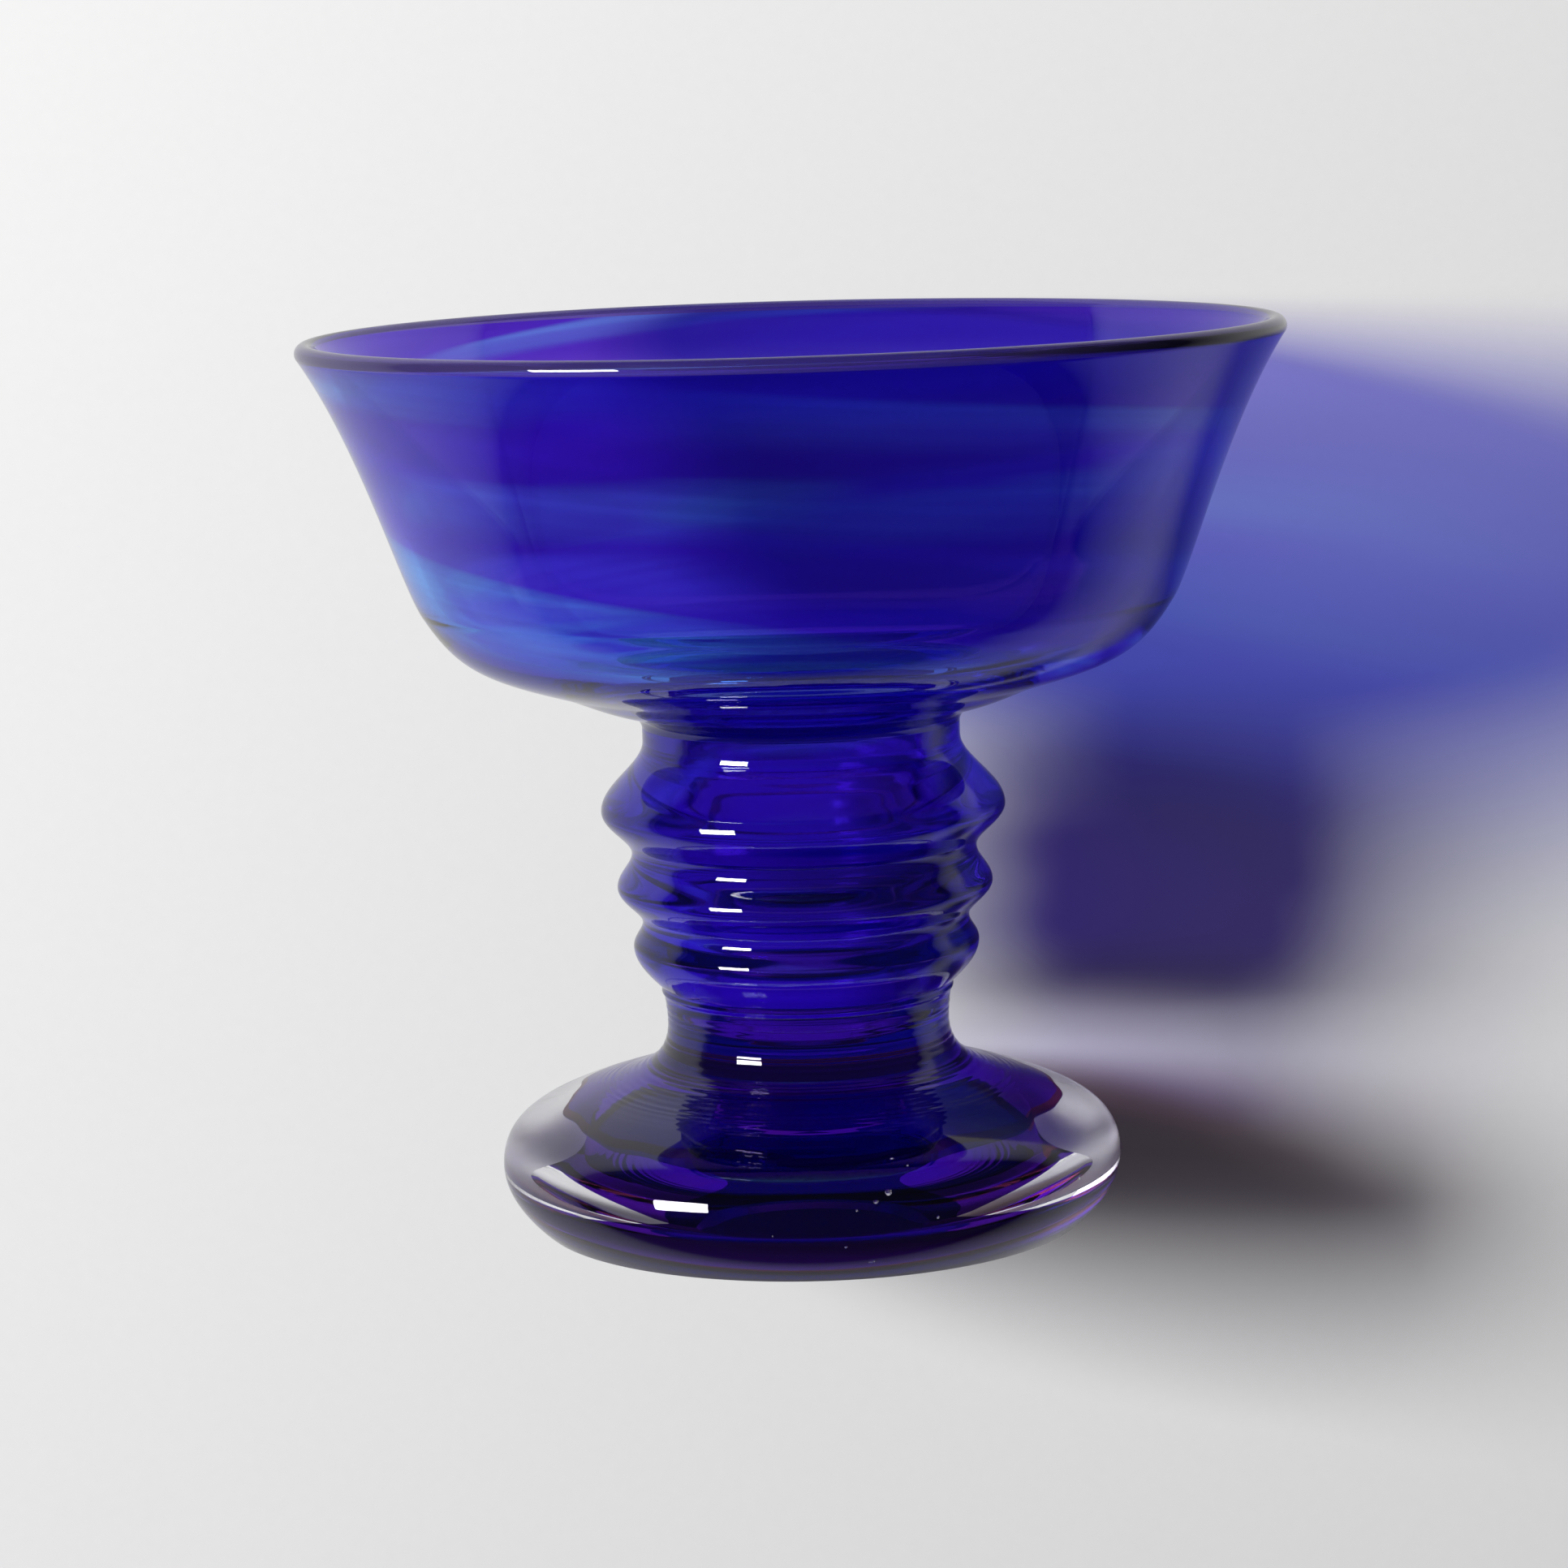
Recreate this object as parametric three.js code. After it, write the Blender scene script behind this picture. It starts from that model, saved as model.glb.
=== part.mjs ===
// Footed glass bowl, hand blown in cobalt blue and colourless glass.
// Millimetres, +Z up, origin at the centre of the ring that the foot rests on.
import * as THREE from 'three';

// Foot: a colourless cushion gathered over a flared blue core
const FOOT_REST_RADIUS = 42.8;
const FOOT_EDGE_RADIUS = 48.6;
const FOOT_EDGE_HEIGHT = 9.6;
const FOOT_SHOULDER_RADIUS = 36.5;
const FOOT_SHOULDER_HEIGHT = 20.6;
const WAIST_RADIUS = 22.1;
const WAIST_HEIGHT = 31.5;
const FOOT_SEAM_HEIGHT = 37.5;
const FOOT_SEAM_RADIUS = 22.9;
const KICK_RADIUS = 30;
const KICK_DEPTH = 2.2;
const PONTIL_RADIUS = 12;
const PONTIL_DEPTH = 0.5;
const CUSHION_COVER = 1.6;
const CORE_EDGE_COVER = 10.1;
const CORE_EDGE_HEIGHT = 14.5;
const CORE_EDGE_ROUND = 3;
const CORE_EDGE_START = -1;
const CORE_FLOOR = 4.6;
const CORE_FLOOR_RADIUS = 20;
const CORE_FLOOR_REACH = 6;
const CORE_SLANT_REACH = 4;
const CORE_RIM = 4;
const WELL_DEPTH = 10.5;

// Stem: three knops from the foot upwards, then a plain neck
const KNOPS = [
  { toCrest: 6.3, crestRadius: 27.1, toCrease: 3.8, creaseRadius: 25.6 },
  { toCrest: 5.6, crestRadius: 29.4, toCrease: 5.4, creaseRadius: 27 },
];
const TOP_KNOP_TO_CREST = 6.7;
const TOP_KNOP_RADIUS = 31.6;
const TOP_KNOP_SWEEP = 10;
const NECK_LENGTH = 3.3;
const NECK_RADIUS = 24.4;
const NECK_TOP_RADIUS = 23.7;
const STEM_OVERLAY = 2;
const STEM_LINING = 2.4;
const BUBBLE_FOLLOW = 0.2;
const BUBBLE_END_LINING = 1.5;

// Merese: the solid blue bit that joins the stem to the bowl
const MERESE_THICKNESS = 2.8;
const MERESE_RADIUS = 29;
const MERESE_ROUND = 0.6;

// Bowl: blue overlay outside, colourless lining inside, fire-polished lip
const BOWL_DEPTH = 58.6;
const RIM_RADIUS = 76.3;
const LIP_TILT = 0.42;
const BELLY_RADIUS = 58.4;
const BELLY_HEIGHT = 16;
const BASE_TURN_RADIUS = 39.6;
const BASE_TURN_HEIGHT = 3.8;
const BOWL_OVERLAY = 1.5;
const BOWL_LINING = 1.3;
const BOWL_FLOOR_LINING = 4;

// Room left between layers that are fused in the real glass
const LAYER_GAP = 0.3;

// Smoothness of the turned shapes
const SEGMENTS = 36;
const FLARE_STEPS = 6;
const HALF_KNOP_STEPS = 3;
const LIP_STEPS = 6;
const WALL_STEPS = 4;
const WELL_STEPS = 5;
const CLIMB_STEPS = 8;

const FINISHES = {
  overlay: { color: '#2a1fb4', roughness: 0.04, metalness: 0 },
  merese: { color: '#1a1080', roughness: 0.05, metalness: 0 },
  core: { color: '#1c0f72', roughness: 0.05, metalness: 0 },
  clear: { color: '#e4e6ea', roughness: 0.03, metalness: 0 },
};

const CORE_RADIUS = FOOT_EDGE_RADIUS - CORE_EDGE_COVER;
const WELL_RADIUS = FOOT_SEAM_RADIUS - CUSHION_COVER - LAYER_GAP - CORE_RIM;
const STEM_BASE = FOOT_SEAM_HEIGHT;
const KNOP_RISE = KNOPS.reduce((sum, knop) => sum + knop.toCrest + knop.toCrease, 0);
const STEM_LENGTH = KNOP_RISE + TOP_KNOP_TO_CREST + TOP_KNOP_SWEEP + NECK_LENGTH;
const MERESE_BASE = STEM_BASE + STEM_LENGTH;
const BOWL_BASE = MERESE_BASE + MERESE_THICKNESS;
const BOWL_RIM = BOWL_BASE + BOWL_DEPTH;
const BOWL_WALL = BOWL_OVERLAY + LAYER_GAP + BOWL_LINING;
const LIP_ROUND = BOWL_WALL / 2;

const at = (radius, height) => new THREE.Vector2(radius, height);

// Points along a cubic curve, without its first point
function bend(from, leave, arrive, to, steps) {
  return new THREE.CubicBezierCurve(from, leave, arrive, to).getPoints(steps).slice(1);
}

// Points along a round stretch about a centre, both ends included
function arc(centre, radius, fromAngle, toAngle, steps) {
  return Array.from({ length: steps + 1 }, (_, i) => {
    const angle = fromAngle + ((toAngle - fromAngle) * i) / steps;
    return at(centre.x + radius * Math.cos(angle), centre.y + radius * Math.sin(angle));
  });
}

// The same outline set into the glass, to the left of its direction of travel
function inset(outline, depthAt) {
  return outline.map((point, i) => {
    const before = outline[Math.max(i - 1, 0)];
    const after = outline[Math.min(i + 1, outline.length - 1)];
    const along = after.clone().sub(before).normalize();
    const depth = depthAt(i / (outline.length - 1));
    return at(point.x - along.y * depth, point.y + along.x * depth);
  });
}

// A turned solid: the outline runs from the bottom outwards, up and back in
const Z_UP = new THREE.Matrix4().makeBasis(
  new THREE.Vector3(1, 0, 0),
  new THREE.Vector3(0, 0, 1),
  new THREE.Vector3(0, -1, 0),
);

function turned(name, outline, finish) {
  const geometry = new THREE.LatheGeometry(outline, SEGMENTS).applyMatrix4(Z_UP);
  const mesh = new THREE.Mesh(geometry, new THREE.MeshStandardMaterial(finish));
  mesh.name = name;
  return mesh;
}

// Foot outline from the resting ring up to the seam under the stem
function footOutline() {
  const rest = at(FOOT_REST_RADIUS, 0);
  const edge = at(FOOT_EDGE_RADIUS, FOOT_EDGE_HEIGHT);
  const shoulder = at(FOOT_SHOULDER_RADIUS, FOOT_SHOULDER_HEIGHT);
  const waist = at(WAIST_RADIUS, WAIST_HEIGHT);
  const seam = at(FOOT_SEAM_RADIUS, FOOT_SEAM_HEIGHT);
  const ledge = edge.x - shoulder.x;
  const rise = shoulder.y - edge.y;
  const flare = waist.y - shoulder.y;
  const tread = shoulder.x - waist.x;
  return [
    rest,
    ...bend(rest, at(rest.x + 2.7, 2.2), at(edge.x, edge.y * 0.6), edge, WALL_STEPS),
    ...bend(edge, at(edge.x, edge.y + rise * 0.58), at(shoulder.x + ledge * 0.62, shoulder.y - rise * 0.24),
      shoulder, WALL_STEPS),
    ...bend(shoulder, at(waist.x + tread * 0.41, shoulder.y + flare * 0.25),
      at(waist.x, waist.y - flare * 0.64), waist, FLARE_STEPS),
    ...bend(waist, at(waist.x, waist.y + 2), at(seam.x - 0.5, seam.y - 2), seam, 3),
  ];
}

// Core outline from the axis: flat underside, slanting side, round edge, then up under the foot's own outline
function coreOutline() {
  const edgeCentre = at(CORE_RADIUS - CORE_EDGE_ROUND, CORE_EDGE_HEIGHT);
  const sunk = inset(footOutline(), () => CUSHION_COVER + LAYER_GAP).slice(2 * WALL_STEPS);
  const top = sunk.filter((point) => point.x < edgeCentre.x);
  const edge = arc(edgeCentre, CORE_EDGE_ROUND, CORE_EDGE_START, Math.PI / 3, LIP_STEPS);
  const slantDown = at(Math.sin(CORE_EDGE_START), -Math.cos(CORE_EDGE_START)).multiplyScalar(CORE_SLANT_REACH);
  const floorEnd = at(CORE_FLOOR_RADIUS, CORE_FLOOR);
  const floorReach = at(CORE_FLOOR_RADIUS + CORE_FLOOR_REACH, CORE_FLOOR);
  const slant = bend(floorEnd, floorReach, edge[0].clone().add(slantDown), edge[0], WALL_STEPS);
  top[top.length - 1].y = FOOT_SEAM_HEIGHT;
  return [at(0, CORE_FLOOR), floorEnd, ...slant, ...edge.slice(1), ...top];
}

function footCushion() {
  const pocket = inset(coreOutline(), () => -LAYER_GAP);
  pocket[0].x = 0;
  pocket[pocket.length - 1].y = FOOT_SEAM_HEIGHT;
  const kickFoot = at(KICK_RADIUS, 0);
  const pontil = at(PONTIL_RADIUS, KICK_DEPTH);
  return turned('foot_clear_cushion', [
    at(0, KICK_DEPTH + PONTIL_DEPTH),
    at(PONTIL_RADIUS - PONTIL_DEPTH, KICK_DEPTH + PONTIL_DEPTH),
    pontil,
    ...bend(pontil, at(pontil.x + 6, KICK_DEPTH), at(kickFoot.x - 5, KICK_DEPTH / 2), kickFoot, WALL_STEPS),
    ...footOutline(),
    ...pocket.reverse(),
  ], FINISHES.clear);
}

// The rounded lower end of the stem's bubble, from the axis up to the seam
function wellOutline(cover) {
  const floor = at(0, FOOT_SEAM_HEIGHT - WELL_DEPTH + cover);
  const radius = WELL_RADIUS - cover;
  const top = at(radius, FOOT_SEAM_HEIGHT);
  const turnIn = at(radius, floor.y + WELL_DEPTH * 0.2);
  return [floor, ...bend(floor, at(radius * 0.6, floor.y), turnIn, top, WELL_STEPS)];
}

function footCore() {
  return turned('foot_blue_core', [...coreOutline(), ...wellOutline(0).reverse()], FINISHES.core);
}

// Stem outline from the seam up: the knops meet in soft creases, the top one sweeps into the neck
function stemOutline() {
  const outline = [at(FOOT_SEAM_RADIUS, STEM_BASE)];
  const last = () => outline[outline.length - 1];
  const stretch = (rise, radius, ease, steps) => {
    const start = last().clone();
    for (let i = 1; i <= steps; i += 1) {
      const part = i / steps;
      outline.push(at(start.x + (radius - start.x) * ease(part), start.y + rise * part));
    }
  };
  const fromSeam = (part) => Math.sin((part * Math.PI) / 2);
  const sweep = (part) => (1 - Math.cos(part * Math.PI)) / 2;
  KNOPS.forEach((knop, i) => {
    stretch(knop.toCrest, knop.crestRadius, i === 0 ? fromSeam : sweep, HALF_KNOP_STEPS);
    stretch(knop.toCrease, knop.creaseRadius, sweep, HALF_KNOP_STEPS);
  });
  stretch(TOP_KNOP_TO_CREST, TOP_KNOP_RADIUS, sweep, HALF_KNOP_STEPS);
  stretch(TOP_KNOP_SWEEP, NECK_RADIUS, sweep, 2 * HALF_KNOP_STEPS);
  stretch(NECK_LENGTH, NECK_TOP_RADIUS, sweep, 2);
  return outline;
}

const thinned = (outline, depth) => outline.map((point) => at(point.x - depth, point.y));

// The blown bubble inside the stem follows the knops only in part and narrows into the foot's well
function bubbleOutline() {
  const skin = STEM_OVERLAY + LAYER_GAP + STEM_LINING;
  const end = wellOutline(LAYER_GAP + BUBBLE_END_LINING);
  const pinch = FOOT_SEAM_RADIUS - skin - end[end.length - 1].x;
  const body = stemOutline().map((point) => {
    const part = (point.y - STEM_BASE) / STEM_LENGTH;
    const plain = FOOT_SEAM_RADIUS + (NECK_TOP_RADIUS - FOOT_SEAM_RADIUS) * part;
    const narrow = pinch * Math.max(0, 1 - part * 3) ** 2;
    return at(plain + (point.x - plain) * BUBBLE_FOLLOW - skin - narrow, point.y);
  });
  return [...end, ...body.slice(1)];
}

function stemOverlay() {
  const outer = stemOutline();
  const inner = thinned(outer, STEM_OVERLAY).reverse();
  return turned('stem_blue_overlay', [...outer, ...inner, outer[0]], FINISHES.overlay);
}

// The lining is a long cup: its closed end fills the well, its open end stands under the merese
function stemLining() {
  const outer = [...wellOutline(LAYER_GAP), ...thinned(stemOutline(), STEM_OVERLAY + LAYER_GAP)];
  return turned('stem_clear_lining', [...outer, ...bubbleOutline().reverse()], FINISHES.clear);
}

function merese() {
  const low = at(NECK_TOP_RADIUS, MERESE_BASE);
  const high = at(MERESE_RADIUS, BOWL_BASE);
  const side = bend(low, at(low.x + 0.4, low.y + MERESE_THICKNESS * 0.5),
    at(high.x - 3, high.y - MERESE_ROUND), high, WALL_STEPS);
  return turned('merese', [at(0, MERESE_BASE), low, ...side, at(0, BOWL_BASE)], FINISHES.merese);
}

// Bowl outline from the axis, over the base and belly, up to where the lip's round starts
const LIP_CENTRE = at(RIM_RADIUS - LIP_ROUND, BOWL_RIM - LIP_ROUND);

function bowlOutline() {
  const seat = at(MERESE_RADIUS, BOWL_BASE);
  const turn = at(BASE_TURN_RADIUS, BOWL_BASE + BASE_TURN_HEIGHT);
  const belly = at(BELLY_RADIUS, BOWL_BASE + BELLY_HEIGHT);
  const lip = arc(LIP_CENTRE, LIP_ROUND, -LIP_TILT, 0, 1)[0];
  const climb = lip.y - belly.y;
  return [
    at(0, BOWL_BASE),
    seat,
    ...bend(seat, at(seat.x + 4, seat.y + 0.9), at(turn.x - 3.5, turn.y - 1.1), turn, 3),
    ...bend(turn, at(turn.x + 10.5, turn.y + 3.1), at(belly.x - 5, belly.y - 8.1), belly, WALL_STEPS),
    ...bend(belly, at(belly.x + climb * 0.076, belly.y + climb * 0.122),
      at(lip.x - climb * 0.33 * Math.tan(LIP_TILT + 0.17), lip.y - climb * 0.33), lip, CLIMB_STEPS),
  ];
}

// The overlay makes the whole lip, down to a ledge that covers the lining's upper edge
function bowlOverlay() {
  const outer = bowlOutline();
  const lip = arc(LIP_CENTRE, LIP_ROUND, -LIP_TILT, Math.PI - LIP_TILT, LIP_STEPS).slice(1);
  const inner = inset(outer, () => BOWL_OVERLAY);
  inner[0].x = 0;
  const ledge = outer.length - 2;
  const lift = outer[ledge + 1].clone().sub(outer[ledge]).setLength(LAYER_GAP);
  const ledgeInside = inset(outer, () => BOWL_WALL)[ledge].add(lift);
  const ledgeOutside = inner[ledge].clone().add(lift);
  return turned('bowl_blue_overlay', [
    ...outer,
    ...lip,
    ledgeInside,
    ledgeOutside,
    ...inner.slice(0, ledge).reverse(),
  ], FINISHES.overlay);
}

function bowlLining() {
  const outline = bowlOutline();
  const floorShare = (part) => Math.max(0, 1 - part * 2) ** 2;
  const depth = (part) => BOWL_WALL + (BOWL_FLOOR_LINING - BOWL_LINING) * floorShare(part);
  const outer = inset(outline, () => BOWL_OVERLAY + LAYER_GAP).slice(0, -1);
  const inner = inset(outline, depth).slice(0, -1);
  outer[0].x = 0;
  inner[0].x = 0;
  return turned('bowl_clear_lining', [...outer, ...inner.reverse()], FINISHES.clear);
}

const footedBowl = new THREE.Group();
footedBowl.add(
  footCushion(),
  footCore(),
  stemOverlay(),
  stemLining(),
  merese(),
  bowlOverlay(),
  bowlLining(),
);

export default footedBowl;
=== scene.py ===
"""Footed bowl of blown cobalt blue and colourless glass, lying on a pale surface under one softbox.

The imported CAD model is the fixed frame. Every CAD node gets a finer visible piece that stands for it: the
same turned outline, smooth, with the small unevenness of hand-blown glass. Outlines are worked out in
millimetres and written to meshes in metres. The part stands upright in the frame, +Z up, so the surface
that the bowl lies on in the photograph is a plane that leans against its lip and its foot.
"""

import logging
import math
from dataclasses import dataclass, field
from enum import Enum
from typing import Any, Callable, Sequence

import bpy
import numpy as np
from mathutils import Matrix, Vector

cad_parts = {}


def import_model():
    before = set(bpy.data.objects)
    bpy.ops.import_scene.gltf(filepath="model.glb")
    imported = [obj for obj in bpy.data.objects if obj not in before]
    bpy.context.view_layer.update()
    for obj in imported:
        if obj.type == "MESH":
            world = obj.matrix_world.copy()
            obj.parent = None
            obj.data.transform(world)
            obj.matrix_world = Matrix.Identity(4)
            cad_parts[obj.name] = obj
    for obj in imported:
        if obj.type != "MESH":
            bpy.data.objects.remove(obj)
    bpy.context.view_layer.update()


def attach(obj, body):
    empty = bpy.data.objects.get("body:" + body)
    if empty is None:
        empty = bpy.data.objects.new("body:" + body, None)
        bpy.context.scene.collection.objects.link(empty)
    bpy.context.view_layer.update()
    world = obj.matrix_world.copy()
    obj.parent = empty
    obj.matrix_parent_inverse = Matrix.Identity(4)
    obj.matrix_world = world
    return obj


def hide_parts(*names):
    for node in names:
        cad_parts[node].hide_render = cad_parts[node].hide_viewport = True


LOG = logging.getLogger("footed_bowl")

MM = 0.001
GLASS_IOR = 1.51
SEGMENTS = 288
SHARP_FROM_DEG = 38
# A point that is nearer the axis than this lies on it
ON_AXIS_MM = 1e-4

# A mix node's two colour inputs and its colour output, which share their names with its other sockets
FIRST, SECOND, MIXED = 6, 7, 2
# A map range's setting for a soft start and a soft end, and the values between which noise mostly stays
EASED = {"interpolation_type": "SMOOTHSTEP"}
NOISE_SPAN = (0.3, 0.7)

# Lobes of the unevenness that all pieces share, as large as this at the lip: size in millimetres, lobes round
# the axis, phase, and for those that wind round it the height in which they turn by a radian
OUT_OF_ROUND = ((0.26, 2, 0.7, 70), (0.13, 3, -1.2, 40))
UNEVEN_RIM = ((0.3, 1, -0.5), (0.12, 2, 1.9))
LIP_RADIUS_MM = 76
LIP_HEIGHT_MM = 140

Point = tuple[float, float]
Lobe = tuple[float, int, float]
Colour = tuple[float, float, float, float]
Warp = Callable[[np.ndarray, np.ndarray, np.ndarray], tuple[np.ndarray, np.ndarray]]
Material = bpy.types.Material
Socket = bpy.types.NodeSocket
Tree = bpy.types.NodeTree


def linear(hex_colour: str) -> Colour:
    """Turn an sRGB hex colour into the linear values that shaders take.

    Args:
        hex_colour: Six hex digits after a hash sign.

    Returns:
        Linear red, green and blue, with 1 for alpha.
    """
    parts = [int(hex_colour[i : i + 2], 16) / 255 for i in (1, 3, 5)]
    values = [c / 12.92 if c <= 0.04045 else ((c + 0.055) / 1.055) ** 2.4 for c in parts]
    return (values[0], values[1], values[2], 1.0)


def add(
    tree: Tree, kind: str, inputs: dict[int | str, Any] | Sequence[Any] = (), **settings: Any
) -> bpy.types.Node:
    """Add one shader node with its settings, its values and its links.

    Args:
        tree: The node tree that gets the node.
        kind: Blender's name of the node type, without ShaderNode in front.
        inputs: Value or source socket for each input, in their order or by name or number.
        **settings: Attributes of the node itself.

    Returns:
        The new node.
    """
    node = tree.nodes.new("ShaderNode" + kind)
    for name, value in settings.items():
        setattr(node, name, value)
    for key, value in inputs.items() if isinstance(inputs, dict) else enumerate(inputs):
        if isinstance(value, Socket):
            tree.links.new(value, node.inputs[key])
        else:
            node.inputs[key].default_value = value
    return node


def millimetres(tree: Tree) -> Socket:
    """Add the nodes that give the place on the piece in millimetres."""
    metres = add(tree, "TexCoord").outputs["Object"]
    return add(tree, "VectorMath", {0: metres, "Scale": 1 / MM}, operation="SCALE").outputs[0]


def close_with(tree: Tree, glass: Socket, tint: Socket | Colour) -> None:
    """End a glass material so that lamps and scattered light reach what is behind it.

    Cycles can't aim at a lamp through a surface that bends light, so for those two kinds of ray the glass
    is a plain tinted window. The camera, mirrored rays and bent rays all see the real glass.

    Args:
        tree: The node tree.
        glass: The glass shader's output.
        tint: What one crossing lets through.
    """
    window = add(tree, "BsdfTransparent", {"Color": tint}).outputs[0]
    rays = add(tree, "LightPath").outputs
    soft = add(tree, "MixShader", (rays["Is Diffuse Ray"], glass, window)).outputs[0]
    lamps = add(tree, "MixShader", (rays["Is Shadow Ray"], soft, window)).outputs[0]
    add(tree, "OutputMaterial", {"Surface": lamps})


@dataclass(frozen=True)
class Finish:
    """What every finish has: a name, and nodes that its own class adds."""

    name: str

    def material(self) -> Material:
        """Build the finish's material.

        Returns:
            The material.
        """
        material = bpy.data.materials.new(self.name)
        material.use_nodes = True
        material.node_tree.nodes.clear()
        self.dress(material.node_tree)
        return material

    def dress(self, tree: Tree) -> None:
        """Add the finish's nodes to its empty node tree."""
        raise NotImplementedError


class Surface(Enum):
    """What a stretch of a piece's outline is."""

    OPEN = 0
    FUSED = 1
    TINTED = 2
    GROUND = 3
    FRINGE = 4
    LIP = 5
    INSIDE = 6


@dataclass(frozen=True)
class Wisp:
    """A long wisp in the colour: it runs round the axis, climbs as it goes and feathers out.

    The angle counts from the front (-Y) towards +X, the rest is in millimetres.
    """

    facing_deg: float
    reach_deg: float
    height: float
    climb: float
    above: float
    below: float
    strength: float


@dataclass(frozen=True)
class BlownCobalt(Finish):
    """Soda-lime glass coloured with cobalt, gathered and blown.

    To the eye: clear deep blue with a violet cast, sky blue where the colour was drawn thin, in wisps that
    wind round the axis because the gather was turned all the time. Lamp light falls paler through it. Its
    dark wisps are painted shade: deeper blue where shade lies behind the glass.
    """

    deep: str
    body: str
    streak: str
    cast: str = "#b1cbf5"
    cast_share: float = 0.0
    thread_share: float = 0.5
    # Share of clear glass; below 1 the rest is matt colour that the lamp lights, painted light on the lip
    clearness: float = 1.0
    band_mm: float = 90.0
    band_twist: float = 0.11
    deep_bands: tuple[float, float] = (0.36, 0.62)
    deep_share: float = 0.8
    thread_mm: float = 24.0
    thread_twist: float = 0.2
    pale_threads: tuple[float, float] = (0.6, 0.82)
    flattened: float = 0.35
    pale: tuple[Wisp, ...] = ()
    # Painted shade: wisps of deeper colour where shade lies behind the glass
    dark: tuple[Wisp, ...] = ()
    wander_mm: float = 2.0
    feather: tuple[float, float] = (0.62, 1.25)
    feather_from: float = 0.35

    def dress(self, tree: Tree) -> None:
        """Add the finish's nodes.

        Args:
            tree: The material's empty node tree.
        """
        place = millimetres(tree)
        bands = self._wound(tree, place, self.band_twist, self.band_mm, detail=2.0)
        threads = self._wound(tree, place, self.thread_twist, self.thread_mm, detail=4.0)
        deep = add(tree, "MapRange", (bands, *self.deep_bands, 0.0, self.deep_share), **EASED).outputs[0]
        # Painted shade: the dark wisps deepen the colour where shade lies behind the glass
        for wisp in self._wisps(tree, place, bands, self.dark):
            deep = add(tree, "Math", (deep, wisp), operation="ADD", use_clamp=True).outputs[0]
        pale_limits = (threads, *self.pale_threads, 0.0, self.thread_share)
        pale = add(tree, "MapRange", pale_limits, **EASED).outputs[0]
        feather = add(tree, "MapRange", (threads, *NOISE_SPAN, *self.feather), **EASED).outputs[0]
        for wisp in self._wisps(tree, place, bands, self.pale):
            drawn = add(tree, "Math", (wisp, feather), operation="MULTIPLY").outputs[0]
            pale = add(tree, "Math", (pale, drawn), operation="ADD", use_clamp=True).outputs[0]
        shades = {0: deep, FIRST: linear(self.body), SECOND: linear(self.deep)}
        lower = add(tree, "Mix", shades, data_type="RGBA").outputs[MIXED]
        drawn_thin = {0: pale, FIRST: lower, SECOND: linear(self.streak)}
        colour = add(tree, "Mix", drawn_thin, data_type="RGBA").outputs[MIXED]
        look = {"Roughness": 0.0, "IOR": GLASS_IOR, "Transmission Weight": self.clearness}
        glass = add(tree, "BsdfPrincipled", {"Base Color": colour, **look}).outputs[0]
        # One crossing of a Principled glass face lets the root of its colour through
        crossed = add(tree, "Gamma", {"Color": colour, "Gamma": 0.5}).outputs[0]
        thrown = {0: self.cast_share, FIRST: crossed, SECOND: linear(self.cast)}
        close_with(tree, glass, add(tree, "Mix", thrown, data_type="RGBA").outputs[MIXED])

    def _wound(self, tree: Tree, place: Socket, twist: float, size: float, detail: float) -> Socket:
        """Add noise that is drawn out along a helix round the axis.

        Args:
            tree: The node tree.
            place: The place in millimetres.
            twist: Turn in radians for each millimetre of height.
            size: Size of a patch in millimetres before it is drawn out.
            detail: How many finer octaves it has.

        Returns:
            The socket with the noise's value.
        """
        height = add(tree, "SeparateXYZ", [place]).outputs["Z"]
        angle = add(tree, "Math", (height, twist), operation="MULTIPLY").outputs[0]
        helix = {"Vector": place, "Angle": angle}
        wound = add(tree, "VectorRotate", helix, rotation_type="Z_AXIS").outputs[0]
        flat = add(tree, "VectorMath", (wound, (1.0, 1.0, self.flattened)), operation="MULTIPLY").outputs[0]
        noise = {"Vector": flat, "Scale": 1 / size, "Detail": detail, "Roughness": 0.5, "Distortion": 0.25}
        return add(tree, "TexNoise", noise).outputs[0]

    def _wisps(self, tree: Tree, place: Socket, bands: Socket, wisps: tuple[Wisp, ...]) -> list[Socket]:
        """Add the nodes of some wisps.

        Args:
            tree: The node tree.
            place: The place in millimetres.
            bands: Slow noise that makes the wisps' edges wander.
            wisps: The wisps.

        Returns:
            The strength of each wisp.
        """
        height = add(tree, "SeparateXYZ", [place]).outputs["Z"]
        sway = (bands, *NOISE_SPAN, -self.wander_mm, self.wander_mm)
        wandering = add(tree, "MapRange", sway).outputs[0]
        level = add(tree, "Math", (height, wandering), operation="ADD").outputs[0]
        shares = []
        for wisp in wisps:
            turn, reach = math.radians(wisp.facing_deg), math.radians(wisp.reach_deg)
            front, side = (math.sin(turn), -math.cos(turn), 0.0), (math.cos(turn), math.sin(turn), 0.0)
            ahead = add(tree, "VectorMath", (place, front), operation="DOT_PRODUCT").outputs["Value"]
            aside = add(tree, "VectorMath", (place, side), operation="DOT_PRODUCT").outputs["Value"]
            angle = add(tree, "Math", (aside, ahead), operation="ARCTAN2").outputs[0]
            climb = (angle, wisp.climb / reach, wisp.height)
            middle = add(tree, "Math", climb, operation="MULTIPLY_ADD").outputs[0]
            off = add(tree, "Math", (level, middle), operation="SUBTRACT").outputs[0]
            over = add(tree, "MapRange", (off, 0.0, wisp.above, 1.0, 0.0), **EASED).outputs[0]
            under = add(tree, "MapRange", (off, -wisp.below, 0.0, 0.0, wisp.strength), **EASED).outputs[0]
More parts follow.
